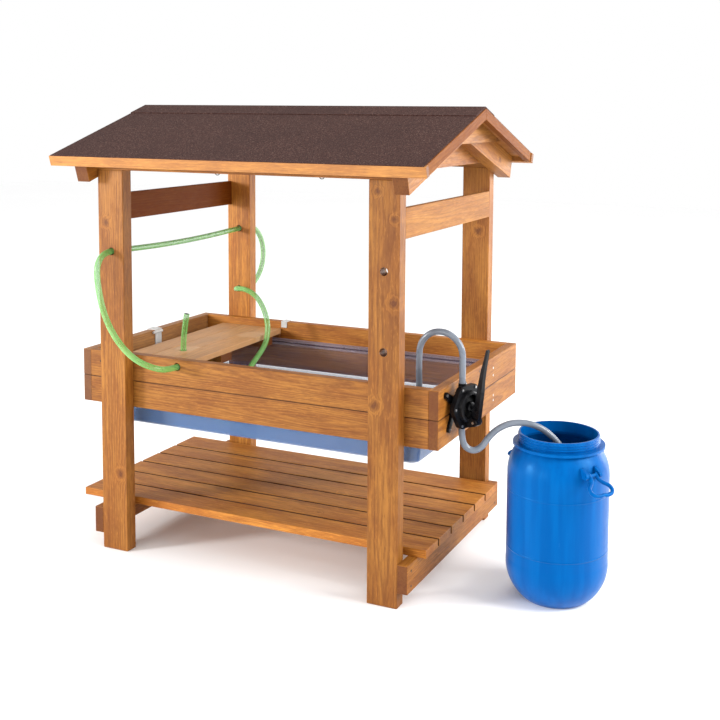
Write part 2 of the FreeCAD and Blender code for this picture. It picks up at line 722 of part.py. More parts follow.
def make_fittings():
    screws = []
    for x, way in ((-lower_rail_thickness, 1), (frame_length + lower_rail_thickness, -1)):
        for y in (30, frame_depth - 30):
            screws += [wood_screw((x, y, z), (way, 0, 0), 60) for z in (68, 116)]
    for x, way in ((box_left, 1), (box_right, -1)):
        for y, z in end_board_screws:
            screws.append(wood_screw((x, y, z), (way, 0, 0), 24))
    screws.append(wood_screw((-36, box_front, 637), (0, 1, 0), 24))
    eyes = []
    for x in (434, 813):
        ring = Part.makeTorus(9.5, 1.5, Vector(x, post_depth + 12, screw_eye_z), Vector(0, 1, 0))
        shank = rod((x, post_depth - 14, screw_eye_z + 9.5), (0, 1, 0), 26, 1.5)
        eyes.append(ring.fuse(shank))
    clip = fuse([block(box_left - 3, inner_left + 3, 414, 452, box_top, box_top + 3),
                 block(box_left - 3, box_left, 414, 452, box_top - 26, box_top + 3),
                 block(inner_left, inner_left + 3, 414, 452, 618, box_top + 3),
                 rod((inner_left + 5.5, 398, 667), (0, 1, 0), 54, 5)])
    small = fuse([block(264, 288, inner_back - 3, box_back + 3, box_top, box_top + 3),
                  block(264, 288, inner_back - 3, inner_back, 652, box_top + 3),
                  block(264, 288, box_back, box_back + 3, 652, box_top + 3)])
    return {"wood_screws": screws, "screw_eyes": eyes, "panel_clips": [clip, small]}


# ---------------------------------------------------------------- the whole object

def main():
    nodes = {}
    for make in (make_frame, make_shelf, make_box, make_tray, make_work_board, make_roof, make_pump,
                 make_drum, make_hoses, make_fittings):
        nodes.update(make())
    shapes = {}
    for name, made in nodes.items():
        solids = made if isinstance(made, list) else [made]
        shapes[name] = Part.makeCompound(solids) if len(solids) > 1 else solids[0]
    standing = [s for name, s in shapes.items() if not name.startswith("hose_")]
    box = Part.makeCompound(standing).optimalBoundingBox()
    shift = Vector(-box.Center.x, -box.Center.y, 0)
    print(f"origin shift {shift.x:.4f} {shift.y:.4f}, size {box.XLength:.1f} x {box.YLength:.1f} x "
          f"{box.ZLength:.1f}, {len(shapes)} nodes")
    os.makedirs("parts", exist_ok=True)
    for name, shape in shapes.items():
        if not shape.isValid():
            print("not valid:", name)
        shape.translate(shift)
        shape.exportStep(f"parts/{name}.step")


main()
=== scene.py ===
import math

import bpy
from mathutils import Matrix, Vector


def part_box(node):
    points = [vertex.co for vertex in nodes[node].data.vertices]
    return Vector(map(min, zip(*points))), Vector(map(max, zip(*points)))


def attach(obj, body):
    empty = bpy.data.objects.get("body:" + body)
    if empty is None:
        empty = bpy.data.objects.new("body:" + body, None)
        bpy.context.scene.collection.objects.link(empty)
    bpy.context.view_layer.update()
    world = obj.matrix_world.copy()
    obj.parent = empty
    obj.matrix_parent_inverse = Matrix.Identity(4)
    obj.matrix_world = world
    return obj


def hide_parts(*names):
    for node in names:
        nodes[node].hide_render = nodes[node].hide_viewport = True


# Sand and water table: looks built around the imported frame. Metres, +X along the ridge towards the
# drum, +Y from front to back, +Z up. Places given below are measured from the outer, front, bottom
# corner of the front left leg, as in the part's source. Colours are linear.

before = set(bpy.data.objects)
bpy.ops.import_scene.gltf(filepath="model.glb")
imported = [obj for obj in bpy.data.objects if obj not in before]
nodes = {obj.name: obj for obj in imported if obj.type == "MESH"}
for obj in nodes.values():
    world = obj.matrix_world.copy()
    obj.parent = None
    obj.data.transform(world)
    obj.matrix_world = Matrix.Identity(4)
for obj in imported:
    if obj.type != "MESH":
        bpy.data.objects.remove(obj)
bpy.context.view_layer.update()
leg_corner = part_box("post_front_left")[0]


def at(x, y, z):
    """A place measured from the front left leg's corner, in the row frame."""
    return leg_corner + Vector((x, y, z))


def add_object(name, data):
    """A new object in the scene that shows the data."""
    made = bpy.data.objects.new(name, data)
    bpy.context.scene.collection.objects.link(made)
    return made


def add_mesh(name, corners, faces):
    """A new object with a mesh of its own."""
    mesh = bpy.data.meshes.new(name)
    mesh.from_pydata(corners, [], faces)
    return add_object(name, mesh)


# ---------------------------------------------------------------- camera

CAMERA_PLACE = (2.3786, -2.9397, 1.5100)
CAMERA_YAW, CAMERA_PITCH, CAMERA_ROLL = 24.9349, -5.2054, 0.3487  # degrees
FOCAL_LENGTH, SENSOR_WIDTH = 55.03, 36.0  # millimetres
SHIFT_X, SHIFT_Y = -0.01715, -0.2107


def add_camera():
    yaw, pitch, roll = (math.radians(angle) for angle in (CAMERA_YAW, CAMERA_PITCH, CAMERA_ROLL))
    forward = Vector((-math.sin(yaw) * math.cos(pitch), math.cos(yaw) * math.cos(pitch),
                      math.sin(pitch)))
    right = Vector((math.cos(yaw), math.sin(yaw), 0))
    up = right.cross(forward)
    turned_right = right * math.cos(roll) + up * math.sin(roll)
    turned_up = up * math.cos(roll) - right * math.sin(roll)
    data = bpy.data.cameras.new("camera")
    data.lens = FOCAL_LENGTH
    data.sensor_width = SENSOR_WIDTH
    data.shift_x = SHIFT_X
    data.shift_y = SHIFT_Y
    camera = add_object("camera", data)
    columns = Matrix((turned_right, turned_up, -forward)).transposed()
    camera.matrix_world = Matrix.Translation(at(*CAMERA_PLACE)) @ columns.to_4x4()
    bpy.context.scene.camera = camera


add_camera()

# ---------------------------------------------------------------- hoses

HOSE_RADIUS = 0.010
BORE_RADIUS = 0.0072
BORE_SIDES = 24
BORE_BACK, BORE_FRONT = -0.0004, 0.0003  # how far the dark disc starts inside and stands out


def add_hose(name, points):
    """A hose along a smooth curve whose control points are the route's."""
    data = bpy.data.curves.new(name, "CURVE")
    data.dimensions = "3D"
    data.bevel_depth = 1.0  # the points carry the radius
    data.bevel_resolution = 5
    data.resolution_u = 12
    data.use_fill_caps = True
    spline = data.splines.new("NURBS")
    spline.points.add(len(points) - 1)
    for point, place in zip(spline.points, points):
        point.co = (*place, 1)
        point.radius = HOSE_RADIUS
    spline.order_u = 3
    spline.use_endpoint_u = True
    piece = add_object(name, data)
    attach(piece, "stand")
    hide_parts(name)
    return piece


def add_bore_shade(name, end, before):
    """A disc of painted shade, for the dark hollow seen in a hose's open end. before is the route's
    point next to the end.
    """
    turn = (end - before).normalized().to_track_quat("Z", "Y").to_matrix()
    angles = [math.tau * i / BORE_SIDES for i in range(BORE_SIDES)]
    rim = [Vector((math.cos(angle), math.sin(angle), 0)) * BORE_RADIUS for angle in angles]
    corners = [end + turn @ (p + Vector((0, 0, z))) for z in (BORE_BACK, BORE_FRONT) for p in rim]
    sides = [(i, (i + 1) % BORE_SIDES, BORE_SIDES + (i + 1) % BORE_SIDES, BORE_SIDES + i)
             for i in range(BORE_SIDES)]
    back = tuple(range(BORE_SIDES - 1, -1, -1))
    front = tuple(range(BORE_SIDES, 2 * BORE_SIDES))
    piece = add_mesh(name, corners, sides + [back, front])
    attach(piece, "stand")
    return piece


# Distance from the pump's lower port towards the drum, and height.
pump_port_x, pump_port_y = 1.240, 0.168
drum_x, drum_y = 1.5065, 0.311
suction_profile = [
    (0, 0.535), (0, 0.506), (0.011, 0.475), (0.037, 0.462), (0.063, 0.474), (0.082, 0.503),
    (0.108, 0.530), (0.148, 0.549), (0.192, 0.551), (0.238, 0.538), (0.280, 0.508), (0.318, 0.462),
    (0.347, 0.398), (0.363, 0.315), (0.368, 0.225), (0.366, 0.135), (0.358, 0.050),
]
towards_drum = Vector((drum_x - pump_port_x, drum_y - pump_port_y, 0)).normalized()
suction_route = [at(pump_port_x, pump_port_y, z) + towards_drum * s for s, z in suction_profile]

# From the pump's upper port over the box's edge to the tray's floor.
delivery_route = [at(*place) for place in [
    (1.240, 0.168, 0.675), (1.241, 0.168, 0.725), (1.240, 0.167, 0.786), (1.199, 0.166, 0.828),
    (1.140, 0.166, 0.829), (1.099, 0.168, 0.787), (1.095, 0.172, 0.725), (1.094, 0.177, 0.660),
    (1.095, 0.183, 0.596), (1.097, 0.191, 0.532), (1.099, 0.200, 0.470),
]]

# From the tray's floor, through the left legs, to the open end above the work board.
water_line_route = [at(*place) for place in [
    (0.288, 0.248, 0.440), (0.290, 0.310, 0.452), (0.292, 0.375, 0.482), (0.293, 0.440, 0.525),
    (0.292, 0.510, 0.569), (0.289, 0.588, 0.606), (0.287, 0.622, 0.642), (0.280, 0.638, 0.694),
    (0.250, 0.658, 0.745), (0.200, 0.688, 0.784), (0.138, 0.712, 0.802), (0.083, 0.733, 0.798),
    (0.053, 0.775, 0.787), (0.0505, 0.832, 0.785), (0.051, 0.921, 0.787), (0.052, 0.991, 0.862),
    (0.051, 0.990, 0.957), (0.0505, 0.918, 1.027), (0.0505, 0.826, 1.028), (0.0505, 0.740, 1.026),
    (0.0505, 0.620, 1.021), (0.051, 0.460, 1.018), (0.051, 0.300, 1.019), (0.0505, 0.150, 1.023),
    (0.0505, 0.040, 1.028), (0.0505, -0.014, 1.029), (0.050, -0.050, 1.018), (0.050, -0.072, 0.990),
    (0.052, -0.076, 0.948), (0.060, -0.077, 0.900), (0.078, -0.080, 0.840), (0.112, -0.084, 0.780),
    (0.160, -0.088, 0.728), (0.212, -0.084, 0.690), (0.258, -0.062, 0.667), (0.277, -0.018, 0.652),
    (0.278, 0.060, 0.6485), (0.278, 0.120, 0.643), (0.275, 0.170, 0.600), (0.257, 0.216, 0.556),
    (0.222, 0.246, 0.536), (0.178, 0.262, 0.545), (0.149, 0.273, 0.580), (0.145, 0.276, 0.628),
    (0.1455, 0.276, 0.672), (0.150, 0.277, 0.726), (0.160, 0.277, 0.779),
]]

suction_hose = add_hose("hose_suction", suction_route)
delivery_hose = add_hose("hose_delivery", delivery_route)
water_line = add_hose("hose_water_line", water_line_route)

# ---------------------------------------------------------------- material helpers


class Shader:
    """A material being built node by node. What its methods take and give back is a number, a
    vector, a colour or another node's output."""

    def __init__(self, name):
        self.material = bpy.data.materials.new(name)
        self.material.use_nodes = True
        self.tree = self.material.node_tree
        self.surface = self.tree.nodes["Principled BSDF"]
        coords = self.tree.nodes.new("ShaderNodeTexCoord").outputs
        self.place, self.normal = coords["Object"], coords["Normal"]

    def node(self, kind, settings=(), **inputs):
        """A new node. An input is called by its name, or by i and its number."""
        made = self.tree.nodes.new("ShaderNode" + kind)
        for key, value in dict(settings).items():
            setattr(made, key, value)
        for key, value in inputs.items():
            self.set_input(made, key, value)
        return made

    def set_input(self, made, key, value):
        numbered = key[0] == "i" and key[1:].isdigit()
        socket = made.inputs[int(key[1:]) if numbered else key]
        if isinstance(value, bpy.types.NodeSocket):
            self.tree.links.new(value, socket)
        else:
            socket.default_value = value

    def math(self, operation, a, b=0.0):
        return self.node("Math", {"operation": operation}, i0=a, i1=b).outputs[0]

    def add(self, a, b):
        return self.math("ADD", a, b)

    def subtract(self, a, b):
        return self.math("SUBTRACT", a, b)

    def multiply(self, a, b):
        return self.math("MULTIPLY", a, b)

    def absolute(self, a):
        return self.math("ABSOLUTE", a)

    def gap(self, value, level):
        """How far a value is from a level, either way."""
        return self.absolute(self.subtract(value, level))

    def vector(self, operation, a, b=(0, 0, 0)):
        made = self.node("VectorMath", {"operation": operation}, i0=a, i1=b)
        return made.outputs["Value" if operation in ("DOT_PRODUCT", "LENGTH") else "Vector"]

    def dot(self, a, b):
        return self.vector("DOT_PRODUCT", a, b)

    def length(self, a):
        return self.vector("LENGTH", a)

    def split(self, a):
        """A vector's x, y and z."""
        return self.node("SeparateXYZ", Vector=a).outputs

    def ramp(self, value, low, high, out_low=0.0, out_high=1.0, smooth=True):
        """value from low..high to out_low..out_high, clamped."""
        kind = "SMOOTHSTEP" if smooth else "LINEAR"
        made = self.node("MapRange", {"interpolation_type": kind}, i0=value, i1=low, i2=high,
                         i3=out_low, i4=out_high)
        return made.outputs[0]

    def mix(self, factor, a, b):
        """Mixes two colours."""
        return self.node("Mix", {"data_type": "RGBA"}, i0=factor, i6=a, i7=b).outputs[2]

    def noise(self, vector, scale, detail=3.0, roughness=0.5):
        made = self.node("TexNoise", Vector=vector, Scale=scale, Detail=detail, Roughness=roughness)
        return made.outputs["Fac"]

    def stretched_noise(self, vector, scales, detail, roughness=0.5):
        """Noise with a scale of its own along each axis."""
        scaled = self.vector("MULTIPLY", vector, Vector(scales))
        return self.noise(scaled, 1.0, detail, roughness)

    def bump(self, height, strength, distance):
        made = self.node("Bump", Height=height, Strength=strength, Distance=distance)
        self.set_input(self.surface, "Normal", made.outputs["Normal"])

    def finish(self, **inputs):
        """Sets the surface's inputs, with underscores for the spaces in their names."""
        for key, value in inputs.items():
            self.set_input(self.surface, key.replace("_", " "), value)
        return self.material


def rgba(r, g, b):
    return (r, g, b, 1.0)


def toned(colour, tone):
    return rgba(*(channel * tone for channel in colour))


def paint(names, material):
    """Gives nodes, by name, or pieces a material."""
    for name in names:
        piece = nodes[name] if isinstance(name, str) else name
        piece.data.materials.clear()
        piece.data.materials.append(material)
        if piece.type == "MESH":
            for polygon in piece.data.polygons:
                polygon.material_index = 0


# ---------------------------------------------------------------- timber

PALE = (0.385, 0.152, 0.022)
MIDDLE = (0.262, 0.086, 0.010)
DEEP = (0.115, 0.029, 0.003)
KNOT = rgba(0.075, 0.018, 0.005)
END_GRAIN = rgba(0.072, 0.015, 0.003)
PAINTED_GAP_SHADE = rgba(0.030, 0.009, 0.003)
PAINTED_SEAM_SHADE = rgba(0.045, 0.012, 0.003)
DAMP = rgba(0.620, 0.400, 0.230)
WHITENED = rgba(0.600, 0.420, 0.240)
PAINTED_SHADE_RED = rgba(0.170, 0.034, 0.003)

# How light each board is made, how far it is whitened and how much reddish painted shade it gets,
# where they differ. The lightness is partly each board's own stain and partly painted light and
# shade: boards that sit in shade, such as the shelf, the back legs, the box's back boards and the
# work board, are made lighter, and some others darker, the left upper rail most of all, in the
# roof's shade. The whitening is weathering on the work board's planks and painted sheen on the
# boards that face the right-hand lamps. The boards with reddish painted shade are also duller.
TONES_AND_PAINTED_LIGHT = {
    "post_front_left": 0.95, "post_front_right": 0.84, "post_back_left": 1.40,
    "post_back_right": 1.05, "upper_rail_left": 0.62, "fascia_boards": 1.38,
    "gable_gussets": 0.85, "barge_boards_left": 0.85, "barge_boards_right": 0.64,
    "box_front_lower": 0.90, "box_front_upper": 0.90, "box_back_lower": 1.35,
    "box_back_upper": 1.35, "work_board_plank_1": 1.4, "work_board_plank_2": 1.4,
    "work_board_plank_3": 1.4,
}
# painted light: the shelf's slats, in shade under the box, are made half as light again
SHELF_PAINTED_LIGHT = 1.5
FADES_AND_SHEEN = {
    "work_board_plank_1": 0.40, "work_board_plank_2": 0.45, "work_board_plank_3": 0.40,
    "upper_rail_right": 0.14, "box_left_upper": 0.15, "box_left_lower": 0.15,
    "fascia_boards": 0.14,
}
RED_PAINTED_SHADE = {"upper_rail_left": 0.65, "barge_boards_right": 0.40, "upper_rail_right": 0.08}

# The larger knots that show on the legs, and the damp patches on the work board, as
# (place, radius).
LEG_KNOTS = {
    "post_front_left": [((0.030, 0, 1.125), 0.010), ((0.075, 0, 0.27), 0.012)],
    "post_front_right": [((1.022, 0, 0.62), 0.012), ((1.030, 0, 1.265), 0.008),
                         ((1.085, 0, 1.185), 0.008), ((1.083, 0, 0.935), 0.012)],
    "post_back_left": [],
    "post_back_right": [((1.06, 0.803, 1.07), 0.011)],
}
DAMP_PATCHES = {
    "work_board_plank_2": [((0.150, 0.300, 0.647), 0.055)],
    "work_board_plank_3": [((0.220, 0.620, 0.647), 0.060)],
}

AXES = {"x": Vector((1, 0, 0)), "y": Vector((0, 1, 0)), "z": Vector((0, 0, 1))}
ROOF_PITCH = math.atan(0.3173)
RING_PITCH = 0.0036
KNOT_SPACING = 0.21
KNOTLESS_SHARE = 0.62
KNOT_RADIUS = 0.009
KNOT_RING_PITCH = 0.0018
KNOT_HALO_DISTANCE = 0.017
END_SHADE, SLAT_END_SHADE, SLAT_PAINTED_GAP_SHADE = 0.85, 0.25, 0.9
WOOD_GLOSS, DULLER_WOOD_GLOSS = 0.24, 0.05


def third_axis(first, second):
    return ({"x", "y", "z"} - {first, second}).pop()


def board_axes(s, grain, face):
    """How far a point is along, across and into the board, and how far it faces along it."""
    if grain != "slope":
        along, width, depth = (s.dot(s.place, AXES[axis])
                               for axis in (grain, third_axis(grain, face), face))
        return along, width, depth, s.dot(s.normal, AXES[grain])
    cosine, sine = math.cos(ROOF_PITCH), math.sin(ROOF_PITCH)
    x, y, z = s.split(s.place)
    across = s.absolute(y)
    along = s.subtract(s.multiply(across, cosine), s.multiply(z, sine))
    width = s.add(s.multiply(across, sine), s.multiply(z, cosine))
    tilt = s.split(s.normal)
    facing = s.subtract(s.multiply(s.absolute(tilt[1]), cosine), s.multiply(tilt[2], sine))
    return along, width, x, facing


def knot_distance(s, local, face, knots):
    """The distance to the nearest knot, whether scattered or listed, with a ragged edge."""
    cells = s.vector("MULTIPLY", local, Vector((1, 1.5, 0.10)) / KNOT_SPACING)
    voronoi = s.node("TexVoronoi", Vector=cells, Scale=1.0, Randomness=1.0).outputs
    random = s.node("SeparateColor", Color=voronoi["Color"]).outputs
    size = s.ramp(random[1], 0.0, 1.0, 0.45, 1.35)
    distance = s.math("DIVIDE", s.multiply(voronoi["Distance"], KNOT_SPACING), size)
    distance = s.add(distance, s.math("LESS_THAN", random[0], KNOTLESS_SHARE))
    through_board = Vector((1, 1, 1)) - AXES[face] * 0.85
    for place, radius in knots:
        away = s.vector("MULTIPLY", s.vector("SUBTRACT", s.place, at(*place)), through_board)
        distance = s.math("MINIMUM", distance, s.multiply(s.length(away), KNOT_RADIUS / radius))
    ragged = s.stretched_noise(local, (60, 110, 30), 2.0)
    return s.add(distance, s.multiply(s.subtract(ragged, 0.5), 0.016))


def growth_rings(s, local, width, depth, knot, seed):
    """The late wood of each growth ring, from 0 to 1. The rings wander slowly along the board and
    are pushed aside by its knots."""
    wander = s.stretched_noise(local, (1.1, 8, 8), 2.0)
    push = s.ramp(knot, 0.0, 0.030, 0.010, 0.0)
    pith_y = 0.045 + 0.05 * math.sin(seed * 2.3)
    pith_z = 0.070 + 0.03 * math.sin(seed * 1.1)
    from_pith = s.length(s.node("CombineXYZ", X=0.0,
                                Y=s.subtract(s.math("PINGPONG", width, 0.06), pith_y),
                                Z=s.add(s.math("PINGPONG", depth, 0.09), pith_z)).outputs[0])
    rings = s.add(s.add(from_pith, s.multiply(wander, 0.034)), push)
    phase = s.math("FRACT", s.math("DIVIDE", rings, RING_PITCH))
    return s.multiply(s.ramp(phase, 0.20, 0.86), s.ramp(phase, 0.86, 1.0, 1.0, 0.0))


def stain(s, name, local, knot, band, fibre):
    """The stained face of a board, without its ends and edges, with its painted light and shade."""
    tone = TONES_AND_PAINTED_LIGHT.get(name, SHELF_PAINTED_LIGHT if name.startswith("shelf") else 1.0)
    pale, middle, deep = (toned(colour, tone) for colour in (PALE, MIDDLE, DEEP))
    streaks = s.stretched_noise(local, (5, 120, 120), 2.0, 0.55)
    figure = s.stretched_noise(local, (30, 210, 210), 3.0, 0.65)
    cloud = s.stretched_noise(local, (4, 16, 16), 4.0, 0.6)
    colour = s.mix(s.ramp(cloud, 0.34, 0.66), pale, middle)
    colour = s.mix(s.multiply(band, 0.40), colour, deep)
    colour = s.mix(s.ramp(streaks, 0.44, 0.70, 0.0, 0.34), colour, deep)
    colour = s.mix(s.ramp(fibre, 0.40, 0.72, 0.0, 0.26), colour, deep)
    colour = s.mix(s.ramp(figure, 0.54, 0.70, 0.0, 0.40), colour, deep)
    colour = s.mix(s.ramp(figure, 0.30, 0.47, 0.40, 0.0), colour, toned(PALE, tone * 1.25))
    halo = s.ramp(s.gap(knot, KNOT_HALO_DISTANCE), 0.0, 0.006, 0.18, 0.0)
    colour = s.mix(halo, colour, toned(PALE, tone * 1.35))
    colour = s.mix(s.ramp(knot, 0.004, 0.018, 0.45, 0.0), colour, deep)
    knot_rings = s.ramp(s.math("PINGPONG", knot, KNOT_RING_PITCH), 0.0, KNOT_RING_PITCH, 0.55, 0.95)
    colour = s.mix(s.multiply(s.ramp(knot, 0.003, 0.010, 0.70, 0.0), knot_rings), colour, KNOT)
    # whitening: weathering on the work board's planks, painted sheen on the boards facing the
    # right-hand lamps
    colour = s.mix(FADES_AND_SHEEN.get(name, 0.0), colour, WHITENED)
    # reddish painted shade, for the boards that lie in shade
    return s.mix(RED_PAINTED_SHADE.get(name, 0.0), colour, PAINTED_SHADE_RED)


def timber(name, grain, face, seed, knots=(), wet=(), end_shade=END_SHADE, painted_gap_shade=0.0):
    """Stained pine with the grain along one axis and its wide face across another.

    grain and face are axis letters; a grain of "slope" follows the roof on both of its sides.
    knots are listed ones, as (place, radius), and wet are pale damp patches, as (place,
    radius). end_shade is how dark the stain has soaked into the end grain, and painted_gap_shade
    how much painted shade darkens the narrow long edges, for the shade in the gaps between slats.
    The seed moves the pattern, so that no two boards match."""
    s = Shader("pine_" + name)
    along, width, depth, facing = board_axes(s, grain, face)
    offset = Vector((seed * 3.17 % 7.0, seed * 1.93 % 5.0, seed * 2.71 % 6.0))
    local = s.node("CombineXYZ", X=along, Y=width, Z=depth).outputs[0]
    local = s.vector("ADD", local, offset)
    knot = knot_distance(s, local, face, knots)
    band = growth_rings(s, local, width, depth, knot, seed)
    fibre = s.stretched_noise(local, (22, 700, 700), 2.0, 0.6)
    colour = stain(s, name, local, knot, band, fibre)

    end = s.ramp(s.absolute(facing), 0.80, 0.95, 0.0, end_shade)
    late_wood = s.add(0.75, s.multiply(band, 0.25))
    colour = s.mix(s.multiply(end, late_wood), colour, END_GRAIN)
    # painted shade on the narrow long edges, for the shade in the gaps between the shelf's slats
    if painted_gap_shade:
        facing_sideways = s.absolute(s.dot(s.normal, AXES[third_axis(grain, face)]))
        colour = s.mix(s.ramp(facing_sideways, 0.75, 0.95, 0.0, painted_gap_shade), colour, PAINTED_GAP_SHADE)
    if name.startswith("box"):
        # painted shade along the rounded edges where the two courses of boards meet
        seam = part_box("box_front_lower")[1].z
        from_seam = s.gap(s.dot(s.place, AXES["z"]), seam)
        colour = s.mix(s.ramp(from_seam, 0.0008, 0.0032, 0.75, 0.0), colour, PAINTED_SEAM_SHADE)
    for place, radius in wet:
        away = s.length(s.vector("SUBTRACT", s.place, at(*place)))
        away = s.add(away, s.multiply(s.noise(s.place, 30.0), 0.05))
        colour = s.mix(s.ramp(away, radius, radius + 0.03, 0.55, 0.0), colour, DAMP)

    s.bump(s.add(s.multiply(band, 0.5), s.multiply(fibre, 0.5)), 0.30, 0.0005)
    return s.finish(Base_Color=colour, Roughness=s.ramp(fibre, 0.3, 0.8, 0.46, 0.64),
                    Specular_IOR_Level=DULLER_WOOD_GLOSS if name in RED_PAINTED_SHADE else WOOD_GLOSS)


def named(*starts):
    """The names of the nodes that start in one of these ways, in order."""
    return sorted(name for name in nodes if name.startswith(starts))


def paint_timber():
    """Paints every board. Each one's seed is its own."""
    for i, (name, knots) in enumerate(LEG_KNOTS.items()):
        paint([name], timber(name, "z", "y", 1.0 + i * 1.7, knots=knots))

    slats = [f"shelf_slat_{i}" for i in range(1, 7)]
    box_sides = ["box_front_lower", "box_front_upper", "box_back_lower", "box_back_upper"]
    for i, name in enumerate(slats + box_sides):
        seed = 11.3 + i * 2.3
        if name in slats:
            # the front slat's front edge is in the light, so it gets no painted shade
            painted_gap_shade = 0.0 if name == slats[0] else SLAT_PAINTED_GAP_SHADE
            paint([name], timber(name, "x", "z", seed, end_shade=SLAT_END_SHADE,
                                 painted_gap_shade=painted_gap_shade))
        else:
            paint([name], timber(name, "x", "y", seed))

    seed = 40.0
    for start, face in (("upper_rail", "x"), ("lower_rail", "x"), ("box_left", "x"),
                        ("box_right", "x"), ("collar", "x"), ("gable", "x"),
                        ("work_board_plank", "z")):
        for name in named(start):
            seed += 1.9
            paint([name], timber(name, "y", face, seed, wet=DAMP_PATCHES.get(name, ())))
    for name, face in (("eaves_beams", "y"), ("fascia_boards", "y"), ("tray_ledgers_long", "y"),
                       ("work_board_battens", "z"), ("work_board_rests", "z"),
                       ("roof_deck_front", "z"), ("roof_deck_back", "z")):
        seed += 2.1
        paint([name], timber(name, "x", face, seed))
    paint(["tray_ledgers_short"], timber("tray_ledgers_short", "y", "x", seed + 3))
    for name in named("rafters", "barge"):
        seed += 2.7
        paint([name], timber(name, "slope", "x", seed))


# ---------------------------------------------------------------- felt, plastics and metal

DRUM_JOINTS = ((0.165, 1.0), (0.346, 0.5))  # height above the ground, and how far it stands out
TRAY_DEEP_BELOW, TRAY_CLEAR_ABOVE = 0.485, 0.520  # heights above the ground
TRAY_RIM_START, TRAY_RIM_FULL, TRAY_CREASE = 0.026, 0.022, 0.013  # depths below the rim's top


def felt():
    """Bitumen felt with a crushed stone face."""
    dark_grit, light_grit = rgba(0.027, 0.009, 0.007), rgba(0.072, 0.030, 0.023)
    bright_grit, worn = rgba(0.16, 0.09, 0.070), rgba(0.032, 0.012, 0.010)
    s = Shader("roofing_felt")
    grit = s.node("TexVoronoi", Vector=s.place, Scale=420.0).outputs
    shade = s.node("SeparateColor", Color=grit["Color"]).outputs[0]
    colour = s.mix(s.ramp(shade, 0.0, 1.0), dark_grit, light_grit)
    colour = s.mix(s.ramp(shade, 0.90, 1.0), colour, bright_grit)
    patches = s.noise(s.place, 5.0, 3.0)
    colour = s.mix(s.ramp(patches, 0.35, 0.7, 0.0, 0.35), colour, worn)
    height = s.add(s.multiply(grit["Distance"], -1.0), s.multiply(s.noise(s.place, 60.0), 0.6))
    s.bump(height, 0.6, 0.0012)
    return s.finish(Base_Color=colour, Roughness=0.93, Specular_IOR_Level=0.25)


def clear_plastic():
    """Thin clear blue plastic: see-through walls, a cloudy rolled rim and a deeper colour low
    down. It is cloudier where it is seen at a glancing angle."""
    wall, glancing_wall = rgba(0.420, 0.300, 0.300), rgba(0.480, 0.400, 0.440)
    bottom, glancing_bottom = rgba(0.070, 0.150, 0.330), rgba(0.140, 0.230, 0.400)
    rim_cloud, crease_line = rgba(0.400, 0.310, 0.340), rgba(0.070, 0.060, 0.110)
    s = Shader("clear_plastic")
    height = s.split(s.place)[2]
    rim_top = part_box("tray")[1].z
    glancing = s.node("LayerWeight", Blend=0.35).outputs["Facing"]
    scratches = s.stretched_noise(s.place, (30, 90, 90), 4.0, 0.7)
    low = s.ramp(height, TRAY_DEEP_BELOW, TRAY_CLEAR_ABOVE, 1.0, 0.0)
    rim = s.ramp(height, rim_top - TRAY_RIM_START, rim_top - TRAY_RIM_FULL)
    crease = s.ramp(s.gap(height, rim_top - TRAY_CREASE), 0.001, 0.004, 1.0, 0.0)
    tint = s.mix(s.ramp(glancing, 0.3, 1.0), wall, glancing_wall)
    tint = s.mix(low, tint, s.mix(s.ramp(glancing, 0.2, 1.0), bottom, glancing_bottom))
    tint = s.mix(rim, tint, rim_cloud)
    tint = s.mix(crease, tint, crease_line)
    alpha = s.add(s.ramp(glancing, 0.0, 1.0, 0.12, 0.55, smooth=False),
                  s.ramp(scratches, 0.55, 0.80, 0.0, 0.10))
    alpha = s.add(alpha, s.multiply(low, 0.32))
    alpha = s.add(alpha, s.multiply(rim, 0.35))
    s.bump(s.noise(s.place, 9.0, 2.0), 0.12, 0.004)
    return s.finish(Base_Color=tint, Roughness=0.09, IOR=1.46, Alpha=alpha)


def moulded(name, dark, light, roughness, gloss=0.5):
    """Moulded plastic with a fine texture and slight wear."""
    s = Shader(name)
    wear = s.noise(s.place, 22.0, 4.0, 0.6)
    colour = s.mix(s.ramp(wear, 0.42, 0.72), dark, light)
    s.bump(s.noise(s.place, 380.0, 2.0), 0.12, 0.0006)
    return s.finish(Base_Color=colour, Specular_IOR_Level=gloss,
                    Roughness=s.ramp(wear, 0.3, 0.8, roughness, roughness + 0.18))


def drum_blue():
    """Blow-moulded polyethylene: joint lines round the drum, faint vertical streaks and scuffs."""
    dark, light, scuffed = rgba(0.0, 0.074, 0.290), rgba(0.0, 0.096, 0.345), rgba(0.08, 0.32, 0.80)
    s = Shader("drum_blue")
    height = s.split(s.place)[2]
    streaks = s.stretched_noise(s.place, (40, 40, 2.5), 3.0)
    scuffs = s.stretched_noise(s.place, (60, 60, 22), 6.0, 0.75)
    colour = s.mix(s.ramp(streaks, 0.3, 0.7), dark, light)
    colour = s.mix(s.ramp(scuffs, 0.66, 0.80, 0.0, 0.30), colour, scuffed)
    relief = s.multiply(s.noise(s.place, 12.0, 2.0), 0.5)
    for joint_height, strength in DRUM_JOINTS:
        relief = s.add(relief, s.ramp(s.gap(height, joint_height), 0.0, 0.004, strength, 0.0))
    s.bump(relief, 0.6, 0.003)
    return s.finish(Base_Color=colour, Roughness=s.ramp(scuffs, 0.4, 0.75, 0.30, 0.48),
                    Specular_IOR_Level=0.24, Specular_Tint=rgba(0.10, 0.55, 1.00))


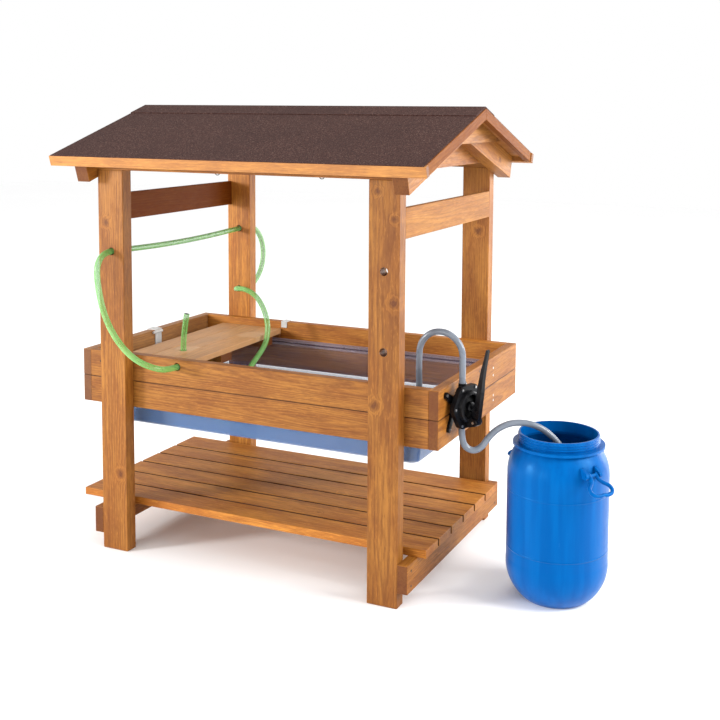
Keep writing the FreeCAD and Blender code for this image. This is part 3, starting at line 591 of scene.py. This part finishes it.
def hose_plastic(name, dark, light, alpha):
    """Extruded hose with a soft sheen and faint clouding. Below an alpha of 1 it is see-through,
    and less so at a glancing angle."""
    s = Shader(name)
    cloud = s.noise(s.place, 18.0, 2.0)
    colour = s.mix(s.ramp(cloud, 0.3, 0.7), dark, light)
    s.bump(s.noise(s.place, 60.0, 1.0), 0.05, 0.0008)
    if alpha < 1:
        glancing = s.node("LayerWeight", Blend=0.4).outputs["Facing"]
        alpha = s.ramp(glancing, 0.0, 1.0, alpha, 1.0, smooth=False)
    return s.finish(Base_Color=colour, Roughness=s.ramp(cloud, 0.3, 0.7, 0.20, 0.34), Alpha=alpha)


def zinc(name, darkening, bright_past=None):
    """Plated steel. darkening is how far it is turned towards dark brown. Given bright_past, only
    the screws behind and above that place keep the plating's colour; the rest get the darkening
    given."""
    dark, light = rgba(0.42, 0.42, 0.43), rgba(0.68, 0.67, 0.64)
    darkened = rgba(0.050, 0.036, 0.030)
    s = Shader(name)
    spangle = s.noise(s.place, 420.0, 3.0)
    colour = s.mix(spangle, dark, light)
    if bright_past:
        past = s.split(s.vector("SUBTRACT", s.place, at(*bright_past)))
        bright = s.multiply(s.math("GREATER_THAN", past[1], 0.0),
                            s.math("GREATER_THAN", past[2], 0.0))
        darkening = s.multiply(s.subtract(1.0, bright), darkening)
    colour = s.mix(darkening, colour, darkened)
    return s.finish(Base_Color=colour, Metallic=1.0,
                    Roughness=s.ramp(spangle, 0.3, 0.7, 0.25, 0.45))


def paint_the_rest():
    """Paints everything but the timber and the painted shade discs in the hoses' open ends."""
    paint(["roof_felt_front", "roof_felt_back", "ridge_strip"], felt())
    paint(["tray"], clear_plastic())
    paint(["drum", "drum_handle_front", "drum_handle_back"], drum_blue())
    paint(["pump_body", "pump_clamp_ring", "pump_rod", "pump_lever", "pump_valves"],
          moulded("pump_black", rgba(0.003, 0.003, 0.004), rgba(0.007, 0.007, 0.008), 0.26,
                  gloss=0.16))
    paint(["pump_diaphragm"],
          moulded("pump_rubber", rgba(0.003, 0.003, 0.003), rgba(0.006, 0.006, 0.006), 0.60,
                  gloss=0.15))
    paint(["pump_lever_pin", "pump_screws"], zinc("zinc_plate", 0.35))
    paint(["screw_eyes"], zinc("dull_steel", 0.75))
    # the wood screws low down or near the front are made dark brown; the others keep the plating's
    # colour
    paint(["wood_screws"], zinc("screw_steel", 1.0, bright_past=(0, 0.45, 0.45)))
    paint(["panel_clips"],
          moulded("white_plastic", rgba(0.52, 0.52, 0.51), rgba(0.64, 0.64, 0.62), 0.30))
    paint([suction_hose, delivery_hose],
          hose_plastic("grey_hose", rgba(0.130, 0.152, 0.187), rgba(0.178, 0.202, 0.242), 1.0))
    paint([water_line],
          hose_plastic("green_hose", rgba(0.16, 0.43, 0.10), rgba(0.22, 0.51, 0.15), 0.50))


paint_timber()
paint_the_rest()

bore_shades = [add_bore_shade("bore_water_line_top", water_line_route[-1], water_line_route[-2]),
         add_bore_shade("bore_water_line_tray", water_line_route[0], water_line_route[1]),
         add_bore_shade("bore_delivery", delivery_route[-1], delivery_route[-2]),
         add_bore_shade("bore_suction", suction_route[-1], suction_route[-2])]
for bore in bore_shades:
    bore.data.materials.append(moulded("painted_shade_" + bore.name, rgba(0.010, 0.014, 0.012),
                                       rgba(0.016, 0.020, 0.018), 0.60, gloss=0.1))

# ---------------------------------------------------------------- studio

FLOOR_REACH, FLOOR_HEIGHT = 14.0, -0.0005
WORLD_STRENGTH = 1.0

# Name, place, what it is aimed at, size and watts. These are in the row frame.
LIGHTS = (
    ("key_front_left", (-2.2, -7.5, 1.7), (0, 0, 0.7), (3.0, 1.6), 150),
    ("key_right", (4.6, 0.2, 3.0), (0.2, 0, 0.7), (2.2, 2.2), 270),
    ("sheen_back_right", (2.6, 4.8, 1.5), (0.4, 0, 0.9), (3.0, 2.4), 130),
    ("low_left", (-4.6, -4.2, 1.9), (-0.2, 0.1, 0.8), (1.0, 1.0), 300),
)


def add_floor():
    corners = [(x * FLOOR_REACH, y * FLOOR_REACH, FLOOR_HEIGHT)
               for x, y in ((-1, -1), (1, -1), (1, 1), (-1, 1))]
    floor = add_mesh("floor", corners, [(0, 1, 2, 3)])
    s = Shader("floor")
    tone = s.mix(s.noise(s.place, 0.6, 2.0), rgba(0.97, 0.97, 0.97), rgba(0.99, 0.99, 0.99))
    floor.data.materials.append(s.finish(Base_Color=tone, Roughness=0.8))


def add_area_light(name, place, target, size, power):
    data = bpy.data.lights.new(name, "AREA")
    data.shape = "RECTANGLE"
    data.size, data.size_y = size
    data.energy = power
    aim = (Vector(target) - Vector(place)).to_track_quat("-Z", "Y")
    light = add_object(name, data)
    light.matrix_world = Matrix.Translation(place) @ aim.to_matrix().to_4x4()


def add_world():
    world = bpy.data.worlds.new("studio")
    world.use_nodes = True
    background = world.node_tree.nodes["Background"]
    background.inputs["Color"].default_value = rgba(1, 1, 1)
    background.inputs["Strength"].default_value = WORLD_STRENGTH
    bpy.context.scene.world = world


add_floor()
add_world()
for light in LIGHTS:
    add_area_light(*light)
bpy.context.scene.view_settings.view_transform = "Standard"
